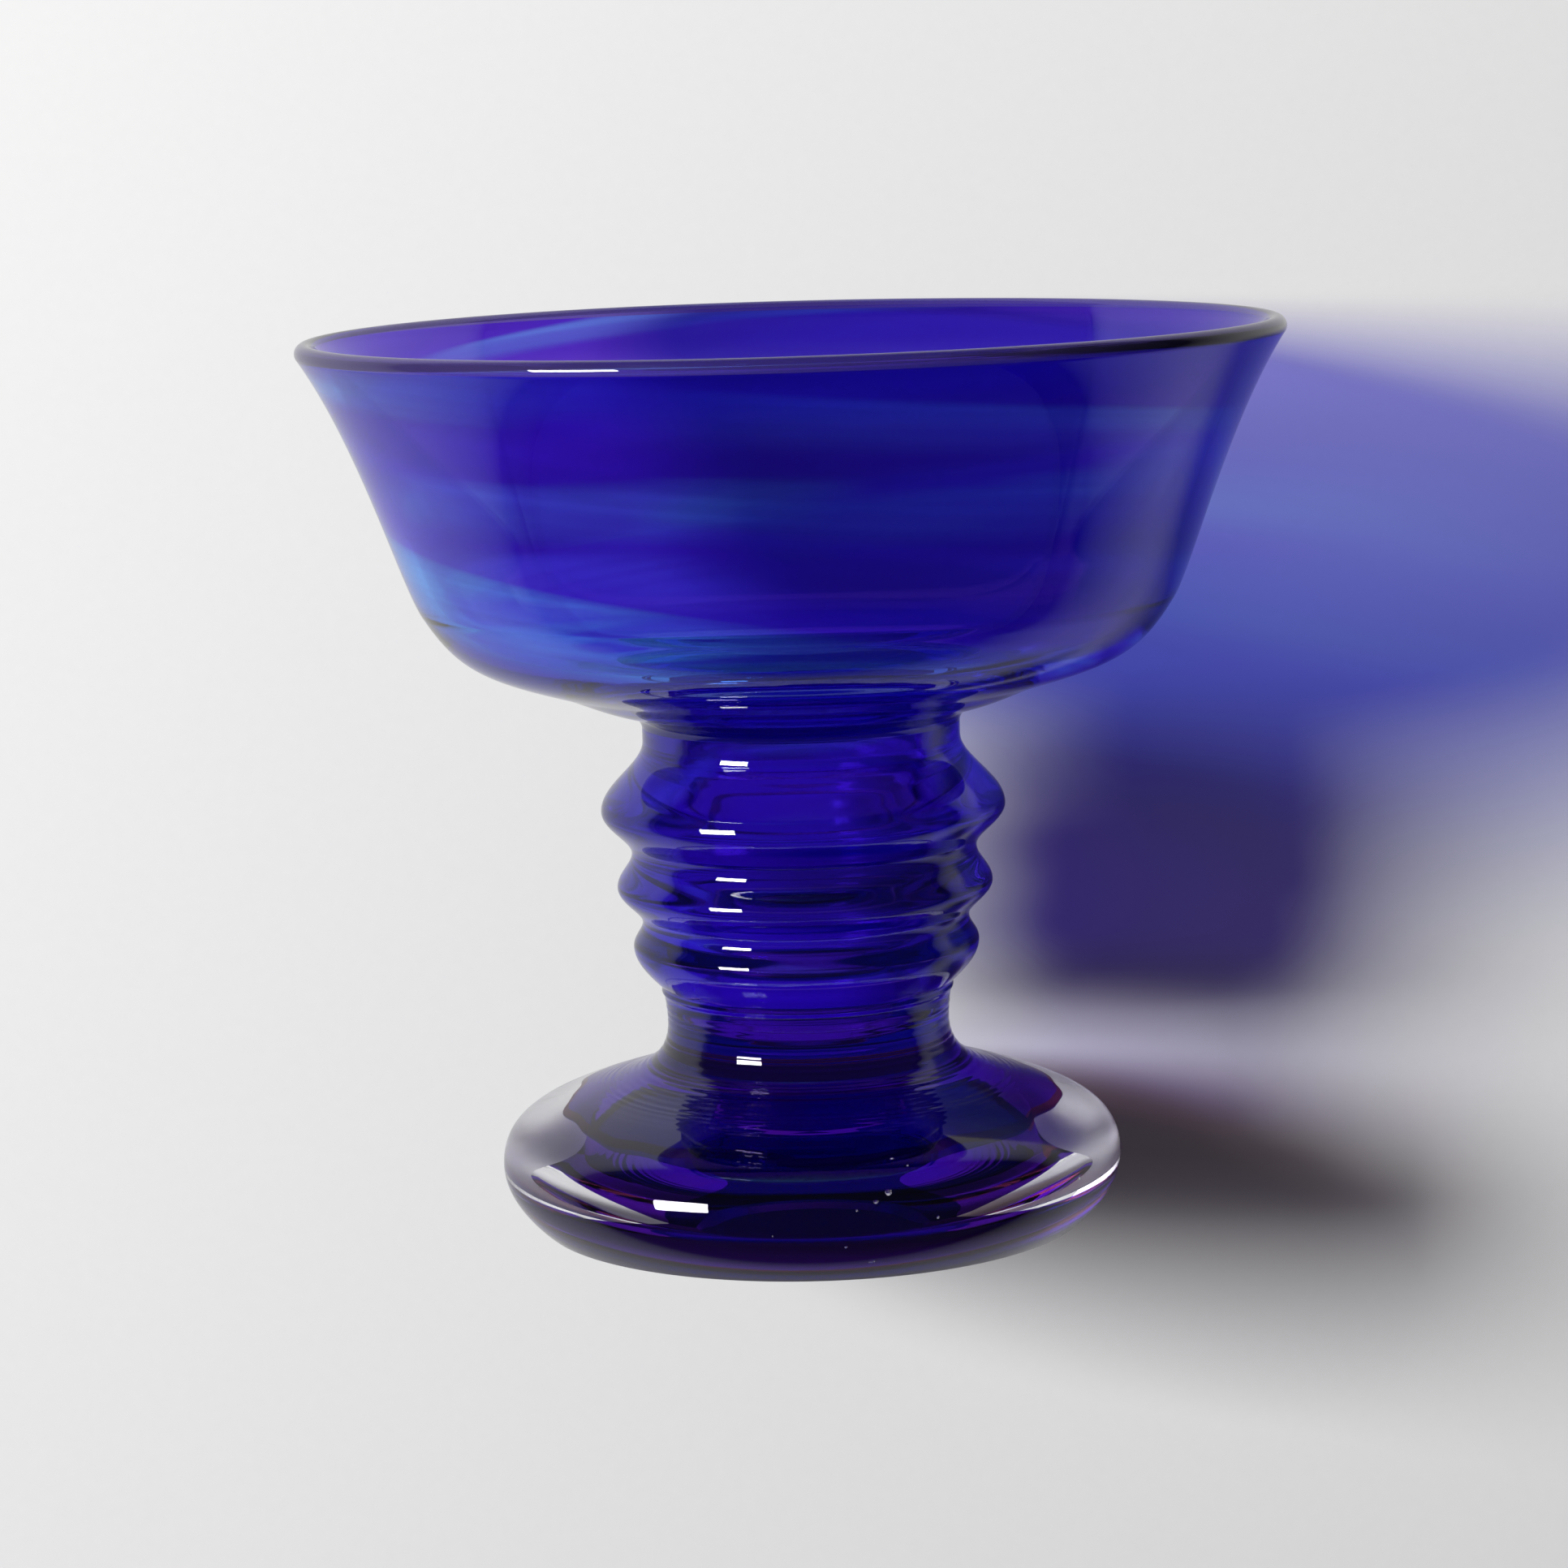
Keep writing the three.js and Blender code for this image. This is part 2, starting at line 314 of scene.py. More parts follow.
            across = add(tree, "Math", (over, under), operation="MULTIPLY").outputs[0]
            sideways = add(tree, "Math", [angle], operation="ABSOLUTE").outputs[0]
            tip = (sideways, reach * self.feather_from, reach, 1.0, 0.0)
            ends = add(tree, "MapRange", tip, **EASED).outputs[0]
            shares.append(add(tree, "Math", (across, ends), operation="MULTIPLY").outputs[0])
        return shares


@dataclass(frozen=True)
class ColourlessGlass(Finish):
    """Colourless soda-lime glass, fire-polished.

    To the eye: perfectly clear, with a faint grey where it is thick and soft waves left by the tools.
    """

    tint: str = "#fbfbfc"
    cord_tint: str = "#f3f3f6"
    cord_mm: float = 18.0
    shade: str = "#f2f2f4"
    edge_shade: str = "#8c8c94"
    thick_shade: str = "#98949c"
    thick_below: float = 0.0
    thick_ease: float = 5.0
    blush: str = "#ffffff"
    blush_from: float = 200.0
    blush_ease: float = 8.0
    roughness: float = 0.0

    def dress(self, tree: Tree) -> None:
        """Add the finish's nodes.

        Args:
            tree: The material's empty node tree.
        """
        place = millimetres(tree)
        cords = add(tree, "TexNoise", {"Vector": place, "Scale": 1 / self.cord_mm, "Detail": 2.0}).outputs[0]
        tints = {0: cords, FIRST: linear(self.tint), SECOND: linear(self.cord_tint)}
        colour = add(tree, "Mix", tints, data_type="RGBA").outputs[MIXED]
        height = add(tree, "SeparateXYZ", [place]).outputs["Z"]
        blush_limits = (height, self.blush_from, self.blush_from + self.blush_ease)
        blue = add(tree, "MapRange", blush_limits, **EASED).outputs[0]
        blushed = {0: blue, FIRST: colour, SECOND: linear(self.blush)}
        colour = add(tree, "Mix", blushed, data_type="RGBA").outputs[MIXED]
        look = {"Roughness": self.roughness, "IOR": GLASS_IOR, "Transmission Weight": 1.0}
        glass = add(tree, "BsdfPrincipled", {"Base Color": colour, **look}).outputs[0]
        # A steep face throws lamp light aside, so it shades what is behind it more
        steep = add(tree, "LayerWeight", {"Blend": 0.5}).outputs["Facing"]
        shades = {0: steep, FIRST: linear(self.shade), SECOND: linear(self.edge_shade)}
        window = add(tree, "Mix", shades, data_type="RGBA").outputs[MIXED]
        # Thick glass throws nearly all lamp light aside
        thick_limits = (height, self.thick_below + self.thick_ease, self.thick_below)
        thick = add(tree, "MapRange", thick_limits, **EASED).outputs[0]
        deeper = {0: thick, FIRST: window, SECOND: linear(self.thick_shade)}
        close_with(tree, glass, add(tree, "Mix", deeper, data_type="RGBA").outputs[MIXED])


@dataclass(frozen=True)
class FusedSeam(Finish):
    """The face where two gathers of glass were fused hot.

    To the eye: nothing, because both sides bend light alike. A tint stands for a colour layer that lies in
    the seam.
    """

    tint: str = "#ffffff"

    def dress(self, tree: Tree) -> None:
        """Add the finish's nodes.

        Args:
            tree: The material's empty node tree.
        """
        window = add(tree, "BsdfTransparent", {"Color": linear(self.tint)}).outputs[0]
        add(tree, "OutputMaterial", {"Surface": window})


@dataclass(frozen=True)
class BuriedCobalt(Finish):
    """Cobalt blue glass buried in colourless glass.

    To the eye: clear violet blue in the narrow waist and near black blue where the core spreads into the
    foot, because there the light crosses more of it. It has no shine of its own: it lies in a fused seam.
    """

    waist: str = "#6c34dc"
    foot: str = "#8648c0"
    cloud_mm: float = 15.0
    flattened: float = 0.4
    thin_over: tuple[float, float] = (15.0, 27.0)
    thin_wander: float = 12.0
    foot_cast: str = "#503c50"
    waist_cast: str = "#fbfafd"
    waist_gain: float = 1.6
    gathered_from: tuple[float, float] = (15.0, 19.0)
    gathered_to: tuple[float, float] = (34.0, 30.0)

    def dress(self, tree: Tree) -> None:
        """Add the finish's nodes.

        Args:
            tree: The material's empty node tree.
        """
        place = millimetres(tree)
        flow = add(tree, "VectorMath", (place, (1.0, 1.0, self.flattened)), operation="MULTIPLY").outputs[0]
        noise = {"Vector": flow, "Scale": 1 / self.cloud_mm, "Detail": 3.0, "Distortion": 0.8}
        clouds = add(tree, "TexNoise", noise).outputs[0]
        height = add(tree, "SeparateXYZ", [place]).outputs["Z"]
        wander = (clouds, 2 * self.thin_wander, -self.thin_wander)
        uneven = add(tree, "Math", wander, operation="MULTIPLY_ADD").outputs[0]
        level = add(tree, "Math", (height, uneven), operation="ADD").outputs[0]
        thin = add(tree, "MapRange", (level, *self.thin_over), **EASED).outputs[0]
        tints = {0: thin, FIRST: linear(self.foot), SECOND: linear(self.waist)}
        tint = add(tree, "Mix", tints, data_type="RGBA").outputs[MIXED]
        face = add(tree, "BsdfTransparent", {"Color": tint}).outputs[0]
        # The hollow curve of the waist gathers lamp light into a bright band
        over = add(tree, "MapRange", (height, *self.gathered_from), **EASED).outputs[0]
        under = add(tree, "MapRange", (height, *self.gathered_to), **EASED).outputs[0]
        bright = add(tree, "Math", (over, under), operation="MULTIPLY").outputs[0]
        gathered = (*(value * self.waist_gain for value in linear(self.waist_cast)[:3]), 1.0)
        casts = {0: bright, FIRST: linear(self.foot_cast), SECOND: gathered}
        thrown = add(tree, "Mix", casts, data_type="RGBA").outputs[MIXED]
        window = add(tree, "BsdfTransparent", {"Color": thrown}).outputs[0]
        lamps = add(tree, "LightPath").outputs["Is Shadow Ray"]
        surface = add(tree, "MixShader", (lamps, face, window)).outputs[0]
        add(tree, "OutputMaterial", {"Surface": surface})


@dataclass(frozen=True)
class SeedBubble(Finish):
    """A seed: a tiny air bubble left in the glass.

    To the eye: a bright dot with a dark edge, because light bends away from the air inside.
    """

    tint: str = "#e8e8ec"

    def dress(self, tree: Tree) -> None:
        """Add the finish's nodes.

        Args:
            tree: The material's empty node tree.
        """
        look = {"Roughness": 0.0, "IOR": 1 / GLASS_IOR, "Transmission Weight": 1.0}
        glass = add(tree, "BsdfPrincipled", look).outputs[0]
        close_with(tree, glass, linear(self.tint))


@dataclass(frozen=True)
class MattBoard(Finish):
    """White board, painted matt.

    To the eye: an even pale grey without shine, with a faint grain. Painted shade: it is a little darker
    towards the foot's side, where the light falls off, and dark far away, so that the glass mirrors a dark
    room at its edges; the glass also mirrors it darker than the camera sees it. It is clear from behind, to
    show the bowl to a camera there.
    """

    upwards: tuple[float, float, float]
    near: str = "#f0f0f0"
    # Painted shade: from near to low colour towards the foot's side, over these distances along the board
    low: str = "#e2e2e3"
    falloff_shade_mm: tuple[float, float] = (220.0, -60.0)
    # Painted shade: dark far from the middle, so that the glass mirrors a dark room at its edges
    far: str = "#403e46"
    far_shade_mm: tuple[float, float] = (240.0, 760.0)
    middle_mm: tuple[float, float, float] = (0.0, 62.0, 74.0)
    grain_mm: float = 2.0
    grain_share: float = 0.015
    # Painted shade: share of the board's colour that the glass mirrors
    mirrored: float = 0.78

    def dress(self, tree: Tree) -> None:
        """Add the finish's nodes.

        Args:
            tree: The material's empty node tree.
        """
        place = millimetres(tree)
        noise = {"Vector": place, "Scale": 1 / self.grain_mm, "Detail": 3.0}
        grain = add(tree, "TexNoise", noise).outputs[0]
        along = add(tree, "VectorMath", (place, self.upwards), operation="DOT_PRODUCT").outputs["Value"]
        # Painted shade: darker towards the foot's side, where the light falls off
        low = add(tree, "MapRange", (along, *self.falloff_shade_mm)).outputs[0]
        shades = {0: low, FIRST: linear(self.near), SECOND: linear(self.low)}
        falloff_shaded = add(tree, "Mix", shades, data_type="RGBA").outputs[MIXED]
        lift = (grain, 0.0, 1.0, 1 - self.grain_share, 1 + self.grain_share)
        lifted = add(tree, "MapRange", lift).outputs[0]
        near = add(tree, "VectorMath", {0: falloff_shaded, "Scale": lifted}, operation="SCALE").outputs[0]
        # Painted shade: dark far from the middle, for the dark room that the glass mirrors
        distance = add(tree, "VectorMath", (place, self.middle_mm), operation="DISTANCE").outputs["Value"]
        away = add(tree, "MapRange", (distance, *self.far_shade_mm)).outputs[0]
        far_shaded = {0: away, FIRST: near, SECOND: linear(self.far)}
        colour = add(tree, "Mix", far_shaded, data_type="RGBA").outputs[MIXED]
        rays = add(tree, "LightPath").outputs
        # Painted shade: the glass mirrors the board darker than the camera sees it
        dimming = (rays["Is Reflection Ray"], 0.0, 1.0, 1.0, self.mirrored)
        mirror_shading = add(tree, "MapRange", dimming).outputs[0]
        colour = add(tree, "VectorMath", {0: colour, "Scale": mirror_shading}, operation="SCALE").outputs[0]
        matt = {"Base Color": colour, "Roughness": 0.9, "Specular IOR Level": 0.1}
        board = add(tree, "BsdfPrincipled", matt).outputs[0]
        behind = add(tree, "NewGeometry").outputs["Backfacing"]
        through = add(tree, "Math", (rays["Is Camera Ray"], behind), operation="MULTIPLY").outputs[0]
        clear = add(tree, "BsdfTransparent").outputs[0]
        shown = add(tree, "MixShader", (through, board, clear)).outputs[0]
        add(tree, "OutputMaterial", {"Surface": shown})


def lobed(angle: np.ndarray, lobes: Sequence[Lobe]) -> np.ndarray:
    """Add up some lobes round the axis.

    Args:
        angle: Angle round the axis.
        lobes: Size in millimetres, number of lobes and phase of each.

    Returns:
        Their sum in millimetres.
    """
    return np.sum([size * np.cos(count * angle + phase) for size, count, phase in lobes], axis=0)


def hand_warp(radius: np.ndarray, height: np.ndarray, angle: np.ndarray) -> tuple[np.ndarray, np.ndarray]:
    """Move every piece alike by the small unevenness of work done by hand.

    Args:
        radius: Distance from the axis in millimetres.
        height: Height in millimetres.
        angle: Angle round the axis.

    Returns:
        What is added to the radius and to the height.
    """
    share = radius / LIP_RADIUS_MM
    outward = share * sum(
        size * np.cos(count * angle + phase + height / twist) for size, count, phase, twist in OUT_OF_ROUND
    )
    upward = (height / LIP_HEIGHT_MM) ** 2 * share * lobed(angle, UNEVEN_RIM)
    return outward, upward


def ring_wave(along: float | np.ndarray, pitch: float, wander: float, wander_rate: float) -> np.ndarray:
    """Give the wave of rings whose spacing wanders, as tools leave them on a turning piece.

    Args:
        along: Way along the surface in millimetres.
        pitch: Mean distance from ring to ring in millimetres.
        wander: How far they wander from their places, as an angle.
        wander_rate: How often that comes and goes for each ring.

    Returns:
        The wave, from -1 to 1.
    """
    turns = 2 * math.pi * along / pitch
    return np.sin(turns + wander * np.sin(turns * wander_rate))


@dataclass
class Outline:
    """A half section in millimetres: its points, and what each stretch between two of them is."""

    points: list[Point]
    kinds: list[Surface] = field(default_factory=list)

    def line(self, radius: float, height: float, kind: Surface, steps: int = 1) -> None:
        """Draw a straight stretch.

        Args:
            radius: Distance of its end from the axis.
            height: Height of its end.
            kind: What the stretch is.
            steps: How many parts it is cut into.
        """
        from_radius, from_height = self.points[-1]
        out, up = radius - from_radius, height - from_height
        parts = [i / steps for i in range(1, steps + 1)]
        self.follow([(from_radius + out * part, from_height + up * part) for part in parts], kind)

    def follow(self, points: Sequence[Point], kind: Surface) -> None:
        """Draw through given points.

        Args:
            points: The points, without the one that the outline is at.
            kind: What the stretch is.
        """
        self.points.extend((float(point[0]), float(point[1])) for point in points)
        self.kinds.extend([kind] * len(points))

    def close(self, kind: Surface) -> None:
        """Join the last point to the first."""
        self.kinds.append(kind)


@dataclass(frozen=True)
class Curve:
    """A curved stretch: where it ends, how far its handles stand off its start and its end, and its steps."""

    end: Point
    leave: Point
    arrive: Point
    steps: int

    def points(self, start: Point) -> list[Point]:
        """Give points along the curve, without its first point.

        Args:
            start: Where it starts.

        Returns:
            The points.
        """
        leave = (start[0] + self.leave[0], start[1] + self.leave[1])
        arrive = (self.end[0] + self.arrive[0], self.end[1] + self.arrive[1])
        t = np.linspace(0, 1, self.steps + 1)[1:, None]
        s = 1 - t
        weights = (s**3, 3 * s * s * t, 3 * s * t * t, t**3)
        corners_mm = (start, leave, arrive, self.end)
        path = sum(weight * np.array(corner) for weight, corner in zip(weights, corners_mm))
        return [tuple(point) for point in path]


def arc(centre: Point, radius: float, start: float, end: float, steps: int) -> list[Point]:
    """Give points along a round stretch, both ends included.

    Args:
        centre: The round's centre.
        radius: Its radius.
        start: First angle.
        end: Last angle.
        steps: How many parts.

    Returns:
        The points.
    """
    angles = np.linspace(start, end, steps + 1)
    return [(centre[0] + radius * math.cos(a), centre[1] + radius * math.sin(a)) for a in angles]


def inset(points: Sequence[Point], depth: float | np.ndarray) -> list[Point]:
    """Set a path sideways, to the left of its direction of travel. Where it starts on the axis, it stays.

    Args:
        points: The path.
        depth: How far, for all points or for each.

    Returns:
        The moved points.
    """
    path = np.array(points, float)
    along = np.gradient(path, axis=0)
    along /= np.linalg.norm(along, axis=1, keepdims=True)
    left = np.stack([-along[:, 1], along[:, 0]], 1)
    moved = path + left * np.reshape(depth, (-1, 1))
    moved[0, 0] = moved[0, 0] if path[0, 0] > ON_AXIS_MM else 0.0
    return [tuple(point) for point in moved]


def smooth_mesh(
    name: str, vertices: Sequence[Any], faces: Sequence[tuple[int, ...]], materials: Sequence[Material]
) -> bpy.types.Object:
    """Make a smooth mesh and put it into the scene.

    Args:
        name: The piece's name.
        vertices: Its corners in metres.
        faces: The corner numbers of each face.
        materials: Its materials.

    Returns:
        The new object.
    """
    mesh = bpy.data.meshes.new(name)
    mesh.from_pydata(vertices, [], faces)
    for material in materials:
        mesh.materials.append(material)
    mesh.polygons.foreach_set("use_smooth", [True] * len(faces))
    piece = bpy.data.objects.new(name, mesh)
    bpy.context.scene.collection.objects.link(piece)
    return piece


def turned(
    name: str, outline: Outline, finishes: dict[Surface, Material], shape: Warp | None = None
) -> bpy.types.Object:
    """Turn an outline round the axis into one closed mesh.

    Args:
        name: The piece's name.
        outline: Its half section.
        finishes: The material of each kind of stretch.
        shape: Extra unevenness that only this piece has.

    Returns:
        The new object.
    """
    turn = np.arange(SEGMENTS) * 2 * math.pi / SEGMENTS
    rings: list[range] = []
    vertices: list[np.ndarray] = []
    count = 0
    for radius, height in outline.points:
        around = turn if radius > ON_AXIS_MM else np.zeros(1)
        radii, heights = np.full(len(around), radius), np.full(len(around), height)
        outward, upward = hand_warp(radii, heights, around)
        if shape is not None:
            more_outward, more_upward = shape(radii, heights, around)
            outward, upward = outward + more_outward, upward + more_upward
        radii = radii + outward
        vertices.append(np.stack([radii * np.cos(around), radii * np.sin(around), heights + upward], 1))
        rings.append(range(count, count + len(around)))
        count += len(around)
    faces: list[tuple[int, ...]] = []
    slots: list[int] = []
    kinds = list(dict.fromkeys(outline.kinds))
    for low, kind in enumerate(outline.kinds):
        a, b = rings[low], rings[(low + 1) % len(rings)]
        for j in range(SEGMENTS):
            k = (j + 1) % SEGMENTS
            if len(a) == 1:
                faces.append((a[0], b[k], b[j]))
            elif len(b) == 1:
                faces.append((a[j], a[k], b[0]))
            else:
                faces.append((a[j], a[k], b[k], b[j]))
        slots.extend([kinds.index(kind)] * SEGMENTS)
    corners_m = (np.concatenate(vertices) * MM).tolist()
    piece = smooth_mesh(name, corners_m, faces, [finishes[kind] for kind in kinds])
    piece.data.polygons.foreach_set("material_index", slots)
    piece.data.set_sharp_from_angle(angle=math.radians(SHARP_FROM_DEG))
    piece.data.validate()
    return piece


def place(piece: bpy.types.Object, node: str, slot: str) -> None:
    """Let a piece stand for its CAD node and report it.

    Args:
        piece: The finished piece.
        node: The CAD node that it replaces.
        slot: The record's material slot that it is made of; not used.
    """
    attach(piece, "root")
    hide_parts(node)
    LOG.info("%s stands for %s: %d faces", piece.name, node, len(piece.data.polygons))


@dataclass
class CushionFoot:
    """The foot: a thick colourless cushion gathered over a flared blue core."""

    # Outside, from the resting ring up
    rest_radius: float = 42.8
    edge: Curve = Curve((48.6, 9.6), leave=(2.7, 2.2), arrive=(0.0, -3.84), steps=26)
    shoulder: Curve = Curve((36.5, 20.6), leave=(0.0, 6.38), arrive=(7.502, -2.64), steps=40)
    waist: Curve = Curve((22.1, 31.5), leave=(-8.496, 2.725), arrive=(0.0, -6.976), steps=90)
    seam: Curve = Curve((22.9, 37.5), leave=(0.0, 2.0), arrive=(-0.5, -2.0), steps=30)
    # Underside: the mark that the pontil left, and the hollow round it
    pontil_radius: float = 12.0
    pontil_depth: float = 0.5
    kick_depth: float = 2.2
    kick: Curve = Curve((30.0, 0.0), leave=(6.0, 0.0), arrive=(-5.0, 1.1), steps=20)
    # Core: it lies under a cover of clear glass and ends just under the seam
    cover: float = 1.6
    gap: float = 0.3
    seam_play: float = 0.05
    core_radius: float = 38.5
    core_edge_height: float = 14.5
    core_round: float = 3.0
    core_edge_start: float = -1.0
    core_edge_end: float = math.pi / 3
    core_edge_steps: int = 20
    core_floor: float = 4.6
    core_floor_radius: float = 20.0
    core_floor_reach: float = 6.0
    core_slant_reach: float = 4.0
    core_slant_steps: int = 30
    # Brown fringe on the core's round edge, counted in its steps, and the lobes where the gather ran out
    fringe_start: int = 8
    fringe_steps: int = 7
    ragged_from: float = 26.0
    ragged_over: float = 11.0
    ragged_share: float = 0.8
    ragged_inward: float = 1.8
    ragged_edge: tuple[Lobe, ...] = ((0.9, 5, 0.4), (0.6, 8, -1.0), (0.45, 13, 2.0), (0.25, 23, 0.0))
    ragged_rise: Lobe = (0.25, 7, 1.3)
    # Well in the core, which holds the lower end of the stem's lining and bubble
    well_radius: float = 17.0
    well_depth: float = 10.5
    well_flat: float = 0.6
    well_upright: float = 0.8
    well_steps: int = 30
    # Rings left by the jacks, and the small ridge under the seam
    ripple_pitch: float = 1.3
    ripple_wander: tuple[float, float] = (0.8, 0.31)
    ripple_swell: float = 0.35
    ripple_swell_rate: float = 0.23
    ripple_height: float = 0.035
    ripple_fade_in: float = 4.0
    ripple_fade_out: float = 2.0
    ridge_height: float = 0.22
    ridge_below_seam: float = 0.9
    ridge_half_width: float = 0.45
    # Each seed's place round the axis in degrees from the front, its radius, height and size
    seeds: tuple[tuple[float, float, float, float], ...] = (
        (14.5, 43.0, 12.6, 0.42),
        (11.6, 44.5, 12.0, 0.24),
        (7.8, 45.0, 11.2, 0.2),
        (16.5, 41.0, 17.0, 0.2),
        (19.5, 41.5, 15.5, 0.16),
        (5.6, 46.0, 6.4, 0.22),
        (10.5, 45.6, 3.6, 0.34),
        (-8.0, 44.0, 8.0, 0.14),
        (24.0, 43.5, 9.0, 0.18),
        (-31.0, 43.0, 10.4, 0.15),
        (62.0, 43.0, 9.4, 0.26),
        (118.0, 42.5, 8.2, 0.22),
        (-140.0, 43.2, 9.0, 0.24),
        (-84.0, 43.8, 7.4, 0.18),
        (171.0, 42.6, 10.6, 0.2),
    )
    # How far they are drawn out, how much that differs from one to the next, and how steeply they climb
    seed_stretch: float = 1.25
    seed_stretch_play: float = 0.35
    seed_stretch_step: float = 2.4
    seed_climb: float = 0.2
    seed_around: int = 16
    seed_up: int = 9

    @property
    def shoulder_index(self) -> int:
        """Number of the outside's point at the shoulder."""
        return self.edge.steps + self.shoulder.steps

    @property
    def seam_radius(self) -> float:
        """Radius of the seam that the stem stands on."""
        return self.seam.end[0]

    @property
    def top(self) -> float:
        """Height of that seam."""
        return self.seam.end[1]

    def outer(self) -> list[Point]:
        """Give the foot's outside from the resting ring up to the seam under the stem.

        Returns:
            The points.
        """
        path = [(self.rest_radius, 0.0)]
        for curve in (self.edge, self.shoulder, self.waist, self.seam):
            path.extend(curve.points(path[-1]))
        return path

    def rippled(self) -> list[Point]:
        """Give the outside with the fine rings that the jacks left on the flare and the waist.

        Returns:
            The points.
        """
        path = np.array(self.outer())
        steps = np.linalg.norm(np.diff(path, axis=0), axis=1)
        along = np.concatenate([[0.0], np.cumsum(steps)])
        fade_in = (along - along[self.shoulder_index]) / self.ripple_fade_in
        fade_out = (along[-1] - self.ripple_fade_out - along) / self.ripple_fade_out
        swell = np.sin(2 * math.pi * along / self.ripple_pitch * self.ripple_swell_rate + 1)
        wave = ring_wave(along, self.ripple_pitch, *self.ripple_wander)
        wave *= 1 - self.ripple_swell + self.ripple_swell * swell
        wave *= np.clip(fade_in, 0, 1) * np.clip(fade_out, 0, 1)
        off_ridge = (self.top - self.ridge_below_seam - path[:, 1]) / self.ridge_half_width
        above_waist = along > along[self.shoulder_index + self.waist.steps]
        ridge = self.ridge_height * np.exp(-(off_ridge**2)) * above_waist
        return inset(path, wave * self.ripple_height - ridge)

    def core_outline(self) -> list[Point]:
        """Give the core's outside from the axis: flat underside, slant, round edge, then under the cover.

        Returns:
            The points.
        """
        low, flat, start = self.core_floor, self.core_floor_radius, self.core_edge_start
        centre = (self.core_radius - self.core_round, self.core_edge_height)
        covered = inset(self.outer(), self.cover + self.gap)[self.shoulder_index :]
        sunk = [point for point in covered if point[0] < centre[0]]
        sunk[-1] = (sunk[-1][0], self.top)
        edge = arc(centre, self.core_round, start, self.core_edge_end, self.core_edge_steps)
        leave = (self.core_floor_reach, 0.0)
        arrive = (self.core_slant_reach * math.sin(start), -self.core_slant_reach * math.cos(start))
        slant = Curve(edge[0], leave, arrive, self.core_slant_steps)
        floor = [(0.0, low), (flat / 2, low), (flat, low)]
        return [*floor, *slant.points(floor[-1]), *edge[1:], *sunk]

    def well(self, cover: float) -> list[Point]:
        """Give the bubble's rounded lower end from the axis up to the seam.

        Args:
            cover: How far inside the well's own wall.

        Returns:
            The points.
        """
        floor = (0.0, self.top - self.well_depth + cover)
        radius = self.well_radius - cover
        leave, arrive = (radius * self.well_flat, 0.0), (0.0, cover - self.well_depth * self.well_upright)
        return [floor, *Curve((radius, self.top), leave, arrive, self.well_steps).points(floor)]

    def build(self, clear: ColourlessGlass, core: BuriedCobalt, seam: Material) -> None:
        """Make the cushion, its core and the seeds.

        Args:
            clear: The cushion's finish.
            core: The core's finish.
            seam: The invisible fused face.
        """
        mark_height = self.kick_depth + self.pontil_depth
        outline = Outline([(0.0, mark_height)])
        outline.line(self.pontil_radius - self.pontil_depth, mark_height, Surface.GROUND, steps=4)
        outline.line(self.pontil_radius, self.kick_depth, Surface.GROUND, steps=3)
        outline.follow(self.kick.points(outline.points[-1]), Surface.OPEN)
        outline.line(self.rest_radius, 0.0, Surface.GROUND, steps=8)
        outline.follow(self.rippled()[1:], Surface.OPEN)
        pocket = inset(self.core_outline(), -self.gap)
        pocket[-1] = (pocket[-1][0], self.top)
        outline.follow(pocket[::-1], Surface.FUSED)
        polished = clear.material()
        rubbed = ColourlessGlass("rubbed_resting_ring", roughness=0.28).material()
        finishes = {Surface.OPEN: polished, Surface.GROUND: rubbed, Surface.FUSED: seam}
        place(turned("clear_cushion", outline, finishes), "foot_clear_cushion", "clear_glass")

        body = Outline([(0.0, self.core_floor)])
        body.follow(self.core_outline()[1:], Surface.OPEN)
        # Two flat stretches and the slant lie before the round edge
        fringe_from = 2 + self.core_slant_steps + self.fringe_start
        body.kinds[fringe_from : fringe_from + self.fringe_steps] = [Surface.FRINGE] * self.fringe_steps
        top = self.top - self.seam_play
        body.points[-1] = (body.points[-1][0], top)
        well = self.well(0.0)
        well[-1] = (well[-1][0], top)
        body.line(well[-1][0], top, Surface.FUSED, steps=2)
        body.follow(well[::-1][1:], Surface.FUSED)
        fringe = FusedSeam("rust_brown_colour_edge", "#b88460").material()
        finishes = {Surface.OPEN: core.material(), Surface.FRINGE: fringe, Surface.FUSED: seam}
        place(turned("blue_core", body, finishes, self._ragged), "foot_blue_core", "core_blue_glass")
        self._seeds(SeedBubble("air_seed"))

